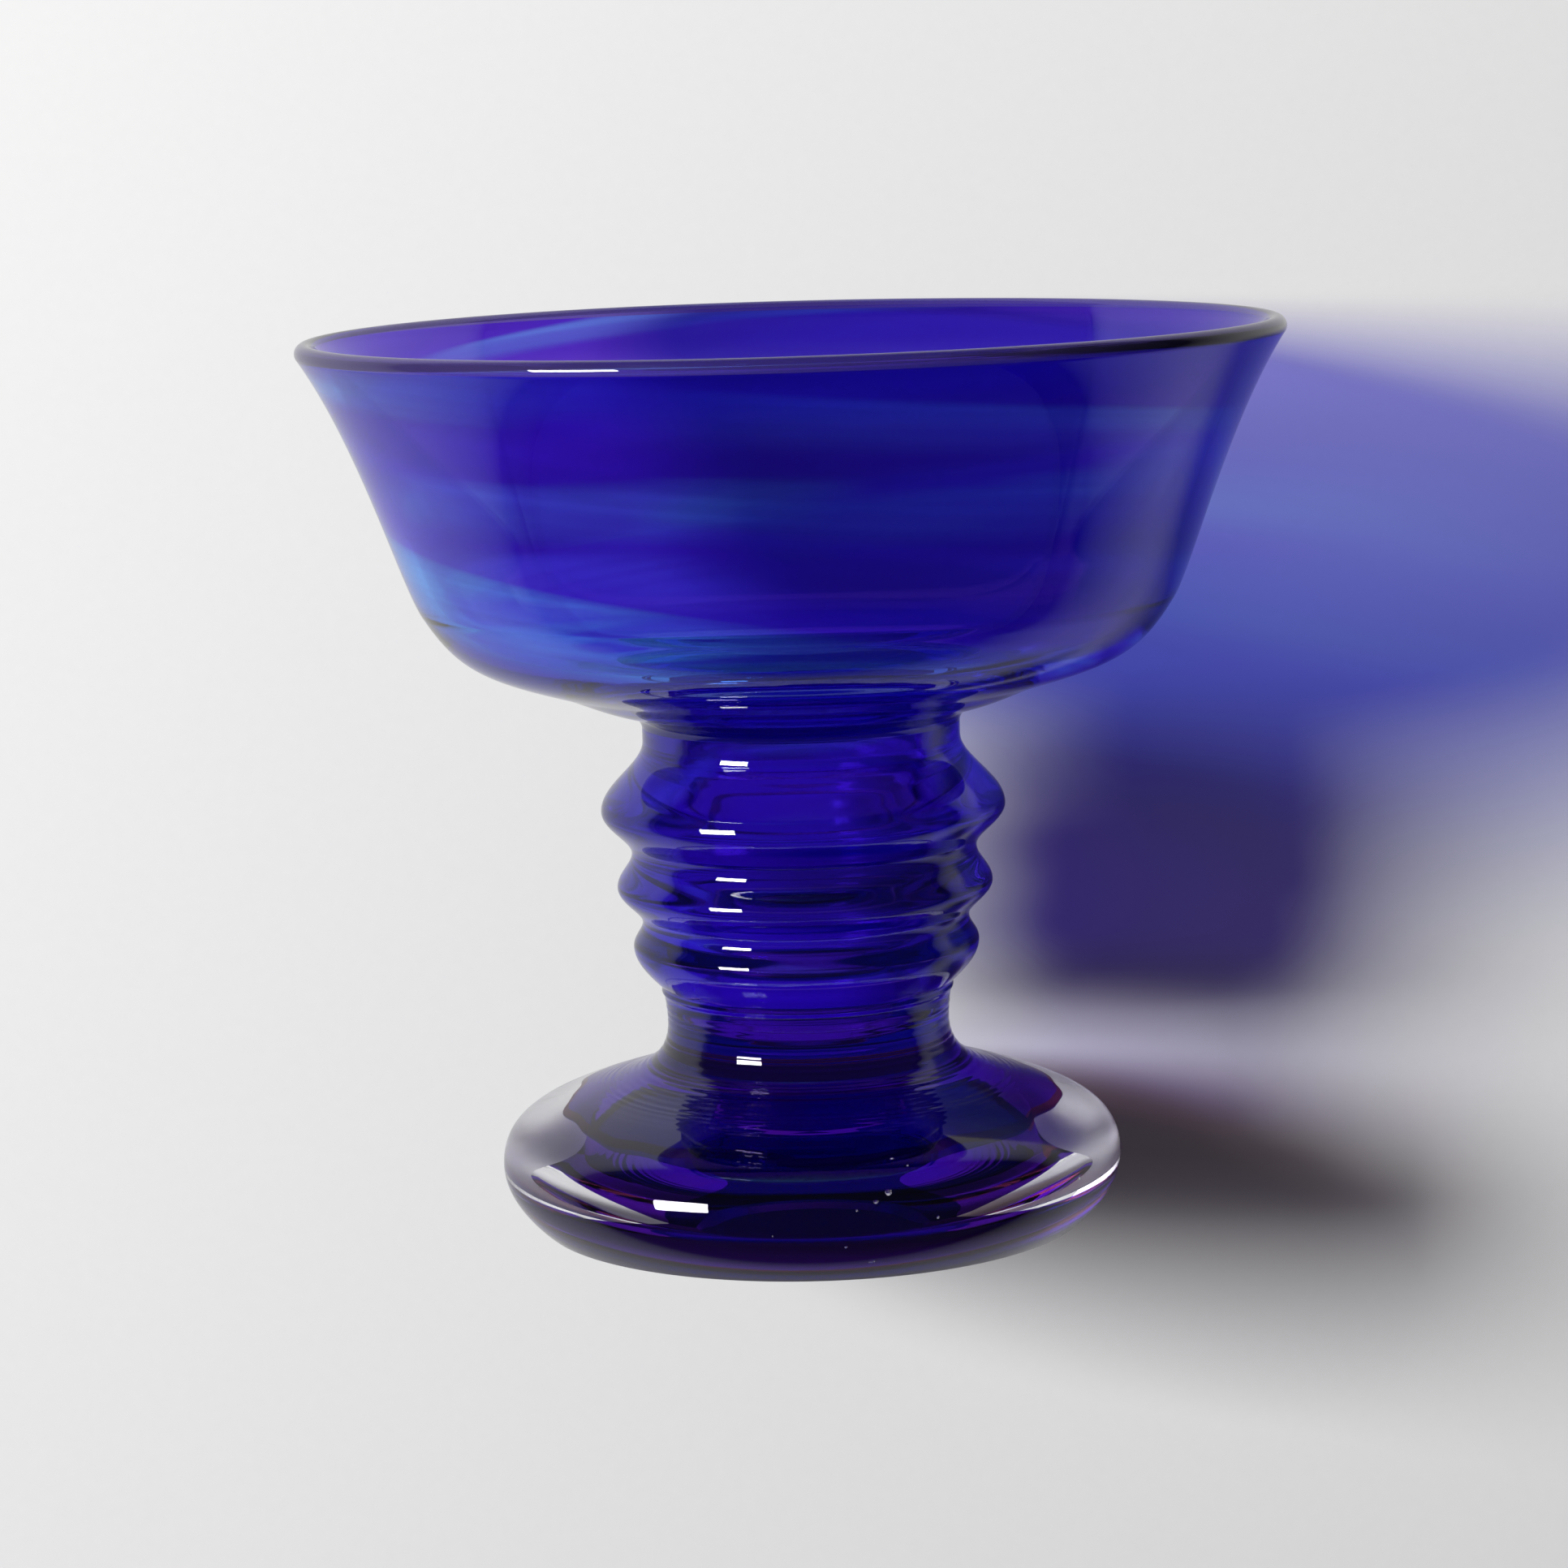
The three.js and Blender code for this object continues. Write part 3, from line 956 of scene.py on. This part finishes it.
    def _seeds(self, air: SeedBubble) -> None:
        """Leave the few seeds that the photograph shows in the clear glass.

        Args:
            air: The seeds' finish.
        """
        around, up = self.seed_around, self.seed_up
        vertices: list[tuple[float, ...]] = []
        faces: list[tuple[int, ...]] = []
        for number, (facing_deg, radius, height, size) in enumerate(self.seeds):
            turn = math.radians(facing_deg - 90)
            middle = Vector((radius * math.cos(turn), radius * math.sin(turn), height))
            drawn = Vector((-math.sin(turn), math.cos(turn), self.seed_climb)).normalized()
            stretch = self.seed_stretch + self.seed_stretch_play * math.sin(number * self.seed_stretch_step)
            first = len(vertices)
            for polar in (math.pi * i / up for i in range(up + 1)):
                for way in (2 * math.pi * j / around for j in range(around)):
                    across = math.sin(polar)
                    at = Vector((across * math.cos(way), across * math.sin(way), math.cos(polar)))
                    at += drawn * at.dot(drawn) * (stretch - 1)
                    vertices.append(tuple((middle + at * size) * MM))
            for a in range(first, first + up * around, around):
                b = a + around
                for j in range(around):
                    k = (j + 1) % around
                    faces.append((a + j, b + j, b + k, a + k))
        piece = smooth_mesh("seeds", vertices, faces, [air.material()])
        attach(piece, "root")
        LOG.info("seeds lie in the clear glass: %d", len(self.seeds))

    def _ragged(
        self, radius: np.ndarray, height: np.ndarray, angle: np.ndarray
    ) -> tuple[np.ndarray, np.ndarray]:
        """Give the core the uneven edge where the gather ran out.

        Args:
            radius: Distance from the axis in millimetres.
            height: Height in millimetres.
            angle: Angle round the axis.

        Returns:
            What is added to the radius and to the height.
        """
        share = np.clip((radius - self.ragged_from) / self.ragged_over, 0, 1) ** 2
        outward = share * self.ragged_share * (lobed(angle, self.ragged_edge) - self.ragged_inward)
        return outward, share * lobed(angle, [self.ragged_rise])


@dataclass
class KnoppedStem:
    """The hollow stem: a blue overlay with three knops, a colourless lining, and the merese above it."""

    foot: CushionFoot
    # Each lower knop's rise, crest radius, fall and the radius of the crease above it
    knops: tuple[tuple[float, float, float, float], ...] = ((6.3, 27.1, 3.8, 25.6), (5.6, 29.4, 5.4, 27.0))
    top_rise: float = 6.7
    top_radius: float = 31.6
    top_sweep: float = 11.0
    neck_radius: float = 24.8
    neck_height: float = 2.3
    overlay: float = 2.0
    lining: float = 2.4
    end_lining: float = 1.5
    follow_share: float = 0.2
    ring_pitch: float = 2.7
    ring_wander: tuple[float, float] = (1.4, 0.23)
    ring_height: float = 0.03
    merese_radius: float = 29.0
    merese_thickness: float = 2.8
    merese_leave: Point = (0.4, 1.4)
    merese_arrive: Point = (-3.0, -0.6)
    merese_steps: int = 24
    step: float = 0.16

    @property
    def base(self) -> float:
        """Height of the seam that the stem stands on."""
        return self.foot.top

    @property
    def length(self) -> float:
        """Length of the stem from the seam to the merese."""
        rise = sum(knop[0] + knop[2] for knop in self.knops)
        return rise + self.top_rise + self.top_sweep + self.neck_height

    def outer(self) -> list[Point]:
        """Give the stem's outside: knops that meet in creases, then a sweep into the neck.

        Returns:
            The points.
        """
        heights = [0.0]
        radii = [self.foot.seam_radius]

        def stretch(rise: float, radius: float, ease: Callable[[float], float]) -> None:
            """Add one stretch.

            Args:
                rise: How far it rises.
                radius: The radius it ends at.
                ease: How its radius changes over its rise.
            """
            steps = max(4, round(rise / self.step))
            low, start = heights[-1], radii[-1]
            heights.extend(low + rise * i / steps for i in range(1, steps + 1))
            radii.extend(start + (radius - start) * ease(i / steps) for i in range(1, steps + 1))

        def from_seam(part: float) -> float:
            """Leave at a slant and arrive level."""
            return math.sin(part * math.pi / 2)

        def sweep(part: float) -> float:
            """Leave and arrive level."""
            return (1 - math.cos(part * math.pi)) / 2

        for i, (rise, crest, fall, crease) in enumerate(self.knops):
            stretch(rise, crest, from_seam if i == 0 else sweep)
            stretch(fall, crease, sweep)
        stretch(self.top_rise, self.top_radius, sweep)
        stretch(self.top_sweep, self.neck_radius, sweep)
        stretch(self.neck_height, self.neck_radius, sweep)
        return [(radius, self.base + height) for radius, height in zip(radii, heights)]

    def bubble(self) -> list[Point]:
        """Give the blown bubble from its lower end in the foot up to the merese.

        Returns:
            The points.
        """
        skin = self.overlay + self.foot.gap + self.lining
        end = self.foot.well(self.foot.gap + self.end_lining)
        seam_radius = self.foot.seam_radius
        pinch = seam_radius - skin - end[-1][0]
        body = []
        for radius, height in self.outer():
            part = (height - self.base) / self.length
            plain = seam_radius + (self.neck_radius - seam_radius) * part
            # The pinch ends a third of the way up, and the rings fade out over a sixth at both ends
            narrow = pinch * max(0.0, 1 - part * 3) ** 2
            calm = min(1.0, 6 * part, 6 * (1 - part))
            wave = float(ring_wave(height - self.base, self.ring_pitch, *self.ring_wander))
            ring = self.ring_height * calm * wave
            body.append((plain + (radius - plain) * self.follow_share - skin - narrow + ring, height))
        return [*end, *body[1:]]

    def build(self, cobalt: BlownCobalt, bit: BlownCobalt, clear: Material, seam: Material) -> None:
        """Make the overlay, the lining and the merese.

        Args:
            cobalt: The overlay's finish.
            bit: The merese's finish.
            clear: The lining's material.
            seam: The invisible fused face.
        """
        outer = self.outer()
        skin = Outline([outer[0]])
        skin.follow(outer[1:], Surface.OPEN)
        inner = [(radius - self.overlay, height) for radius, height in outer]
        skin.follow(inner[::-1], Surface.FUSED)
        skin.close(Surface.FUSED)
        overlay = turned("stem_overlay", skin, {Surface.OPEN: cobalt.material(), Surface.FUSED: seam})
        place(overlay, "stem_blue_overlay", "cobalt_overlay")

        thin = self.overlay + self.foot.gap
        end = self.foot.well(self.foot.gap)
        cup = Outline([end[0]])
        cup.follow(end[1:], Surface.FUSED)
        cup.follow([(radius - thin, height) for radius, height in outer], Surface.FUSED)
        bubble = self.bubble()[::-1]
        cup.line(*bubble[0], Surface.FUSED, steps=2)
        cup.follow(bubble[1:], Surface.OPEN)
        lining = turned("stem_lining", cup, {Surface.OPEN: clear, Surface.FUSED: seam})
        place(lining, "stem_clear_lining", "clear_glass")

        low = self.base + self.length
        high = low + self.merese_thickness
        collar = Outline([(0.0, low)])
        collar.line(bubble[0][0], low, Surface.OPEN, steps=6)
        collar.line(self.neck_radius, low, Surface.FUSED, steps=2)
        side = Curve((self.merese_radius, high), self.merese_leave, self.merese_arrive, self.merese_steps)
        collar.follow(side.points(collar.points[-1]), Surface.OPEN)
        collar.line(0.0, high, Surface.FUSED, steps=4)
        merese = turned("merese_collar", collar, {Surface.OPEN: bit.material(), Surface.FUSED: seam})
        place(merese, "merese", "merese_blue_glass")


@dataclass
class FlaredBowl:
    """The bowl: a blue overlay that makes the whole lip, and a colourless lining."""

    base: float = 81.4
    depth: float = 58.6
    rim_radius: float = 76.3
    lip_tilt: float = 0.42
    lip_steps: int = 28
    # Outside, from the seat on the merese up
    seat_radius: float = 29.0
    seat_steps: int = 12
    turn: Curve = Curve((39.6, 85.2), leave=(4.0, 0.9), arrive=(-3.5, -1.1), steps=24)
    belly: Curve = Curve((58.4, 97.4), leave=(10.5, 3.1), arrive=(-5.0, -8.1), steps=44)
    # The wall above the belly: its handles as shares of its height, and how much more it leans than the lip
    wall_leave: Point = (0.076, 0.122)
    wall_arrive: float = 0.33
    wall_lean: float = 0.17
    wall_steps: int = 96
    overlay: float = 1.5
    lining: float = 1.3
    # How many of the outside's points lie between the lining's upper end and the lip's round
    lining_ends_below: int = 10
    floor_lining: float = 4.0
    gap: float = 0.3

    @property
    def wall(self) -> float:
        """Thickness of the whole wall."""
        return self.overlay + self.gap + self.lining

    @property
    def lip_centre(self) -> Point:
        """Centre of the lip's round."""
        return (self.rim_radius - self.wall / 2, self.base + self.depth - self.wall / 2)

    def outer(self) -> list[Point]:
        """Give the bowl's outside from the axis up to where the lip's round starts.

        Returns:
            The points.
        """
        lip = arc(self.lip_centre, self.wall / 2, -self.lip_tilt, 0, 1)[0]
        climb = lip[1] - self.belly.end[1]
        leave = (climb * self.wall_leave[0], climb * self.wall_leave[1])
        down = climb * self.wall_arrive
        arrive = (-down * math.tan(self.lip_tilt + self.wall_lean), -down)
        radii = np.linspace(0, self.seat_radius, self.seat_steps + 1)
        path = [(float(radius), self.base) for radius in radii]
        for curve in (self.turn, self.belly, Curve(lip, leave, arrive, self.wall_steps)):
            path.extend(curve.points(path[-1]))
        return path

    def build(self, cobalt: BlownCobalt, cobalt_lip_painted_pale: BlownCobalt, clear: Material, seam: Material) -> None:
        """Make the overlay and the lining.

        Args:
            cobalt: The overlay's finish.
            cobalt_lip_painted_pale: The lip's cobalt, painted paler for light seen through and mirrored in
                the bead.
            clear: The lining's material.
            seam: The invisible fused face.
        """
        outer = self.outer()
        seat = self.seat_steps + 1
        ledge = len(outer) - self.lining_ends_below
        ends = -self.lip_tilt, math.pi - self.lip_tilt
        inside = inset(outer, self.overlay)
        skin = Outline([outer[0]])
        skin.follow(outer[1:seat], Surface.TINTED)
        skin.follow(outer[seat:], Surface.OPEN)
        skin.follow(arc(self.lip_centre, self.wall / 2, *ends, self.lip_steps)[1:], Surface.LIP)
        skin.follow(inset(outer, self.wall)[ledge:-1][::-1], Surface.INSIDE)
        skin.line(*inside[ledge], Surface.FUSED, steps=2)
        skin.follow(inside[:ledge][::-1], Surface.FUSED)
        finishes = {
            Surface.OPEN: cobalt.material(),
            Surface.LIP: cobalt_lip_painted_pale.material(),
            Surface.INSIDE: clear,
            Surface.FUSED: seam,
            Surface.TINTED: FusedSeam("cobalt_over_the_seat", "#5f5ae0").material(),
        }
        place(turned("bowl_overlay", skin, finishes), "bowl_blue_overlay", "cobalt_overlay")

        # The lining thickens from half way down towards the floor
        share = np.linspace(0, 1, len(outer))
        more = (self.floor_lining - self.lining) * np.maximum(0, 1 - share * 2) ** 2
        hidden = inset(outer, self.overlay + self.gap)[: ledge + 1]
        shown = inset(outer, self.wall + more)[: ledge + 1]
        cup = Outline([hidden[0]])
        cup.follow(hidden[1:], Surface.FUSED)
        cup.line(*shown[-1], Surface.FUSED, steps=2)
        cup.follow(shown[:-1][::-1], Surface.OPEN)
        lining = turned("bowl_lining", cup, {Surface.OPEN: clear, Surface.FUSED: seam})
        place(lining, "bowl_clear_lining", "clear_glass")


@dataclass
class Studio:
    """The pale surface that the bowl lies on, one softbox, a dark studio round it, and the camera."""

    lip_touch: Point = (76.3, 138.1)
    foot_touch: Point = (48.6, 9.6)
    surface_size_m: float = 4.0
    surface_gap_mm: float = 0.8
    lamp_turn_deg: float = 49.0
    lamp_rise_deg: float = 4.0
    lamp_far_m: float = 2.5
    lamp_width_deg: float = 21.0
    lamp_height_deg: float = 17.0
    lamp_watts: float = 90.0
    lamp_colour: tuple[float, float, float] = (1.0, 0.998, 0.996)
    lamp_aim_mm: tuple[float, float, float] = (0.0, 0.0, 70.0)
    dark_room: str = "#f0eef2"
    dark_room_strength: float = 0.045
    white_room: str = "#f4f4f6"
    white_room_strength: float = 0.9
    camera_at_mm: tuple[float, float, float] = (-2.84, -715.4, 179.1)
    camera_drop: float = 0.1531
    camera_roll: float = -0.0268
    lens_mm: float = 106.33

    @property
    def up_surface(self) -> Vector:
        """Direction along the surface from the foot's touch to the lip's."""
        lip, foot = self.lip_touch, self.foot_touch
        return Vector((0, lip[0] - foot[0], lip[1] - foot[1])).normalized()

    @property
    def off_surface(self) -> Vector:
        """The surface's normal, towards the camera."""
        return Vector((1, 0, 0)).cross(self.up_surface).normalized()

    def build(self) -> None:
        """Make the surface, the light and the camera."""
        self._surface()
        self._softbox()
        self._world()
        self._camera()

    def _surface(self) -> None:
        """Lay the pale surface under the lip and the foot."""
        lip, foot, half = self.lip_touch, self.foot_touch, self.surface_size_m / 2
        middle = Vector((0, lip[0] + foot[0], lip[1] + foot[1])) / 2 - self.off_surface * self.surface_gap_mm
        side, up = Vector((half, 0, 0)), self.up_surface * half
        sheet = [tuple(middle * MM + side * a + up * b) for a, b in ((-1, -1), (1, -1), (1, 1), (-1, 1))]
        material = MattBoard("matt_white_board", tuple(self.up_surface)).material()
        floor = smooth_mesh("pale_surface", sheet, [(0, 1, 2, 3)], [material])
        LOG.info("pale surface laid, %.1f m wide", self.surface_size_m)

    def _softbox(self) -> None:
        """Hang the one softbox to the left of the camera."""
        turn, rise = math.radians(self.lamp_turn_deg), math.radians(self.lamp_rise_deg)
        level = Vector((-1, 0, 0)) * math.sin(turn) + self.off_surface * math.cos(turn)
        towards = level * math.cos(rise) + self.up_surface * math.sin(rise)
        data = bpy.data.lights.new("softbox", "AREA")
        data.shape = "RECTANGLE"
        data.size = 2 * self.lamp_far_m * math.tan(math.radians(self.lamp_width_deg / 2))
        data.size_y = 2 * self.lamp_far_m * math.tan(math.radians(self.lamp_height_deg / 2))
        data.energy = self.lamp_watts
        data.color = self.lamp_colour
        lamp = bpy.data.objects.new("softbox", data)
        lamp.visible_camera = False
        lamp.visible_transmission = False
        across = self.up_surface.cross(towards).normalized()
        upright = towards.cross(across).normalized()
        aimed = Matrix((across, upright, towards)).transposed().to_4x4()
        hung_at = Vector(self.lamp_aim_mm) * MM + towards * self.lamp_far_m
        lamp.matrix_world = Matrix.Translation(hung_at) @ aimed
        bpy.context.scene.collection.objects.link(lamp)
        LOG.info("softbox hung, %.2f by %.2f m", data.size, data.size_y)

    def _world(self) -> None:
        """Make the room white behind the bowl and dark in front of it."""
        world = bpy.data.worlds.new("studio")
        world.use_nodes = True
        tree = world.node_tree
        tree.nodes.clear()
        rays = add(tree, "LightPath").outputs
        looks = (rays["Is Camera Ray"], rays["Is Transmission Ray"])
        seen = add(tree, "Math", looks, operation="MAXIMUM").outputs[0]
        dim_light = {"Color": linear(self.dark_room), "Strength": self.dark_room_strength}
        dim = add(tree, "Background", dim_light).outputs[0]
        pale_light = {"Color": linear(self.white_room), "Strength": self.white_room_strength}
        pale = add(tree, "Background", pale_light).outputs[0]
        shown = add(tree, "MixShader", (seen, dim, pale)).outputs[0]
        add(tree, "OutputWorld", {"Surface": shown})
        bpy.context.scene.world = world

    def _camera(self) -> None:
        """Set up the camera at the photograph's place and turn."""
        drop, roll = self.camera_drop, self.camera_roll
        ahead = Vector((0, math.cos(drop), -math.sin(drop)))
        plain_up = Vector((0, math.sin(drop), math.cos(drop)))
        plain_right = Vector((1, 0, 0))
        right = plain_right * math.cos(roll) + plain_up * math.sin(roll)
        up = -plain_right * math.sin(roll) + plain_up * math.cos(roll)
        data = bpy.data.cameras.new("camera")
        data.sensor_width = 36
        data.sensor_fit = "HORIZONTAL"
        data.lens = self.lens_mm
        data.clip_end = 50
        camera = bpy.data.objects.new("camera", data)
        aimed = Matrix((right, up, -ahead)).transposed().to_4x4()
        camera.matrix_world = Matrix.Translation(Vector(self.camera_at_mm) * MM) @ aimed
        bpy.context.scene.collection.objects.link(camera)
        bpy.context.scene.camera = camera


def let_light_through() -> None:
    """Give rays enough crossings for eight glass faces in a row, and keep the plain view."""
    scene = bpy.context.scene
    scene.view_settings.view_transform = "Standard"
    scene.cycles.max_bounces = 36
    scene.cycles.transmission_bounces = 30
    scene.cycles.glossy_bounces = 30
    scene.cycles.diffuse_bounces = 4
    scene.cycles.transparent_max_bounces = 96


def main() -> None:
    logging.basicConfig(level=logging.INFO, format="%(name)s: %(message)s")
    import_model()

    pale = (
        Wisp(-62, 50, 134.6, 0.6, 3.2, 4.5, 0.5),
        Wisp(34, 62, 129.8, -4.6, 2.6, 6.5, 0.34),
        Wisp(-32, 42, 119.2, 1.4, 3.5, 8.0, 0.55),
        Wisp(34, 46, 118.4, 2.6, 4.0, 7.0, 0.14),
        Wisp(-46, 62, 103.4, -9.0, 2.2, 15.0, 1.0),
        Wisp(-12, 56, 95.0, -4.0, 3.5, 9.0, 0.34),
        Wisp(30, 70, 91.0, -1.0, 3.0, 4.0, 0.16),
        Wisp(209, 32, 136.0, -4.2, 1.6, 2.4, 0.6),
        Wisp(172, 32, 138.4, -0.4, 0.9, 1.6, 0.25),
        Wisp(150, 60, 112.0, -7.0, 5.0, 7.0, 0.3),
        Wisp(222, 44, 98.0, 6.0, 4.0, 9.0, 0.6),
        Wisp(110, 50, 100.0, -5.0, 4.0, 6.0, 0.4),
    )
    # Painted shade: deeper blue at the front and right, where shade lies behind the bowl's walls
    dark = (Wisp(8, 50, 118.0, 0.0, 20.0, 22.0, 0.7), Wisp(60, 36, 104.0, 0.0, 12.0, 12.0, 0.4))
    bowl_cobalt = BlownCobalt(
        "blown_cobalt_overlay",
        deep="#2505a2",
        body="#340ccc",
        streak="#4ca0fc",
        cast="#a6b8f9",
        cast_share=0.5,
        thread_share=0.08,
        pale=pale,
        dark=dark,
    )
    # Painted light: paler, partly matt cobalt stands for light seen through and mirrored in the rounded lip
    cobalt_lip_painted_pale = BlownCobalt(
        "cobalt_lip_with_painted_light", deep="#5a4a9c", body="#6a58ac", streak="#7a70bc", clearness=0.75
    )
    stem_cobalt = BlownCobalt(
        "blown_cobalt_stem",
        deep="#10035a",
        body="#2808c0",
        streak="#3a62f0",
        cast="#795567",
        cast_share=0.4,
        thread_share=0.1,
        pale=(
            Wisp(4, 34, 78.2, 0.6, 1.2, 1.6, 0.5),
            Wisp(-44, 15, 72.0, 5.0, 3.5, 4.5, 0.6),
            Wisp(-50, 24, 47.0, -1.0, 1.4, 2.2, 0.7),
            Wisp(4, 32, 43.2, -1.2, 0.8, 1.5, 0.8),
        ),
        # Painted shade: deeper blue on the knops' right, where the stem's own shadow lies behind it
        dark=(Wisp(34, 80, 58.0, -2.0, 7.0, 12.0, 0.6),),
    )
    bit_cobalt = BlownCobalt("cobalt_bit", deep="#12055c", body="#1c0a88", streak="#2a20b0")
    polished = ColourlessGlass("fire_polished_colourless_glass", edge_shade="#c4c4cc", thick_below=14.0)
    seam = FusedSeam("fused_seam").material()
    lining = ColourlessGlass("colourless_lining", edge_shade="#d8d8de", blush="#8a70de", blush_from=127.0)
    bubble_wall = ColourlessGlass("bubble_wall", edge_shade="#d8d8de", roughness=0.1)

    foot = CushionFoot()
    foot.build(polished, BuriedCobalt("buried_cobalt_core"), seam)
    KnoppedStem(foot).build(stem_cobalt, bit_cobalt, bubble_wall.material(), seam)
    FlaredBowl().build(bowl_cobalt, cobalt_lip_painted_pale, lining.material(), seam)

    Studio().build()
    let_light_through()


if __name__ == "__main__":
    main()
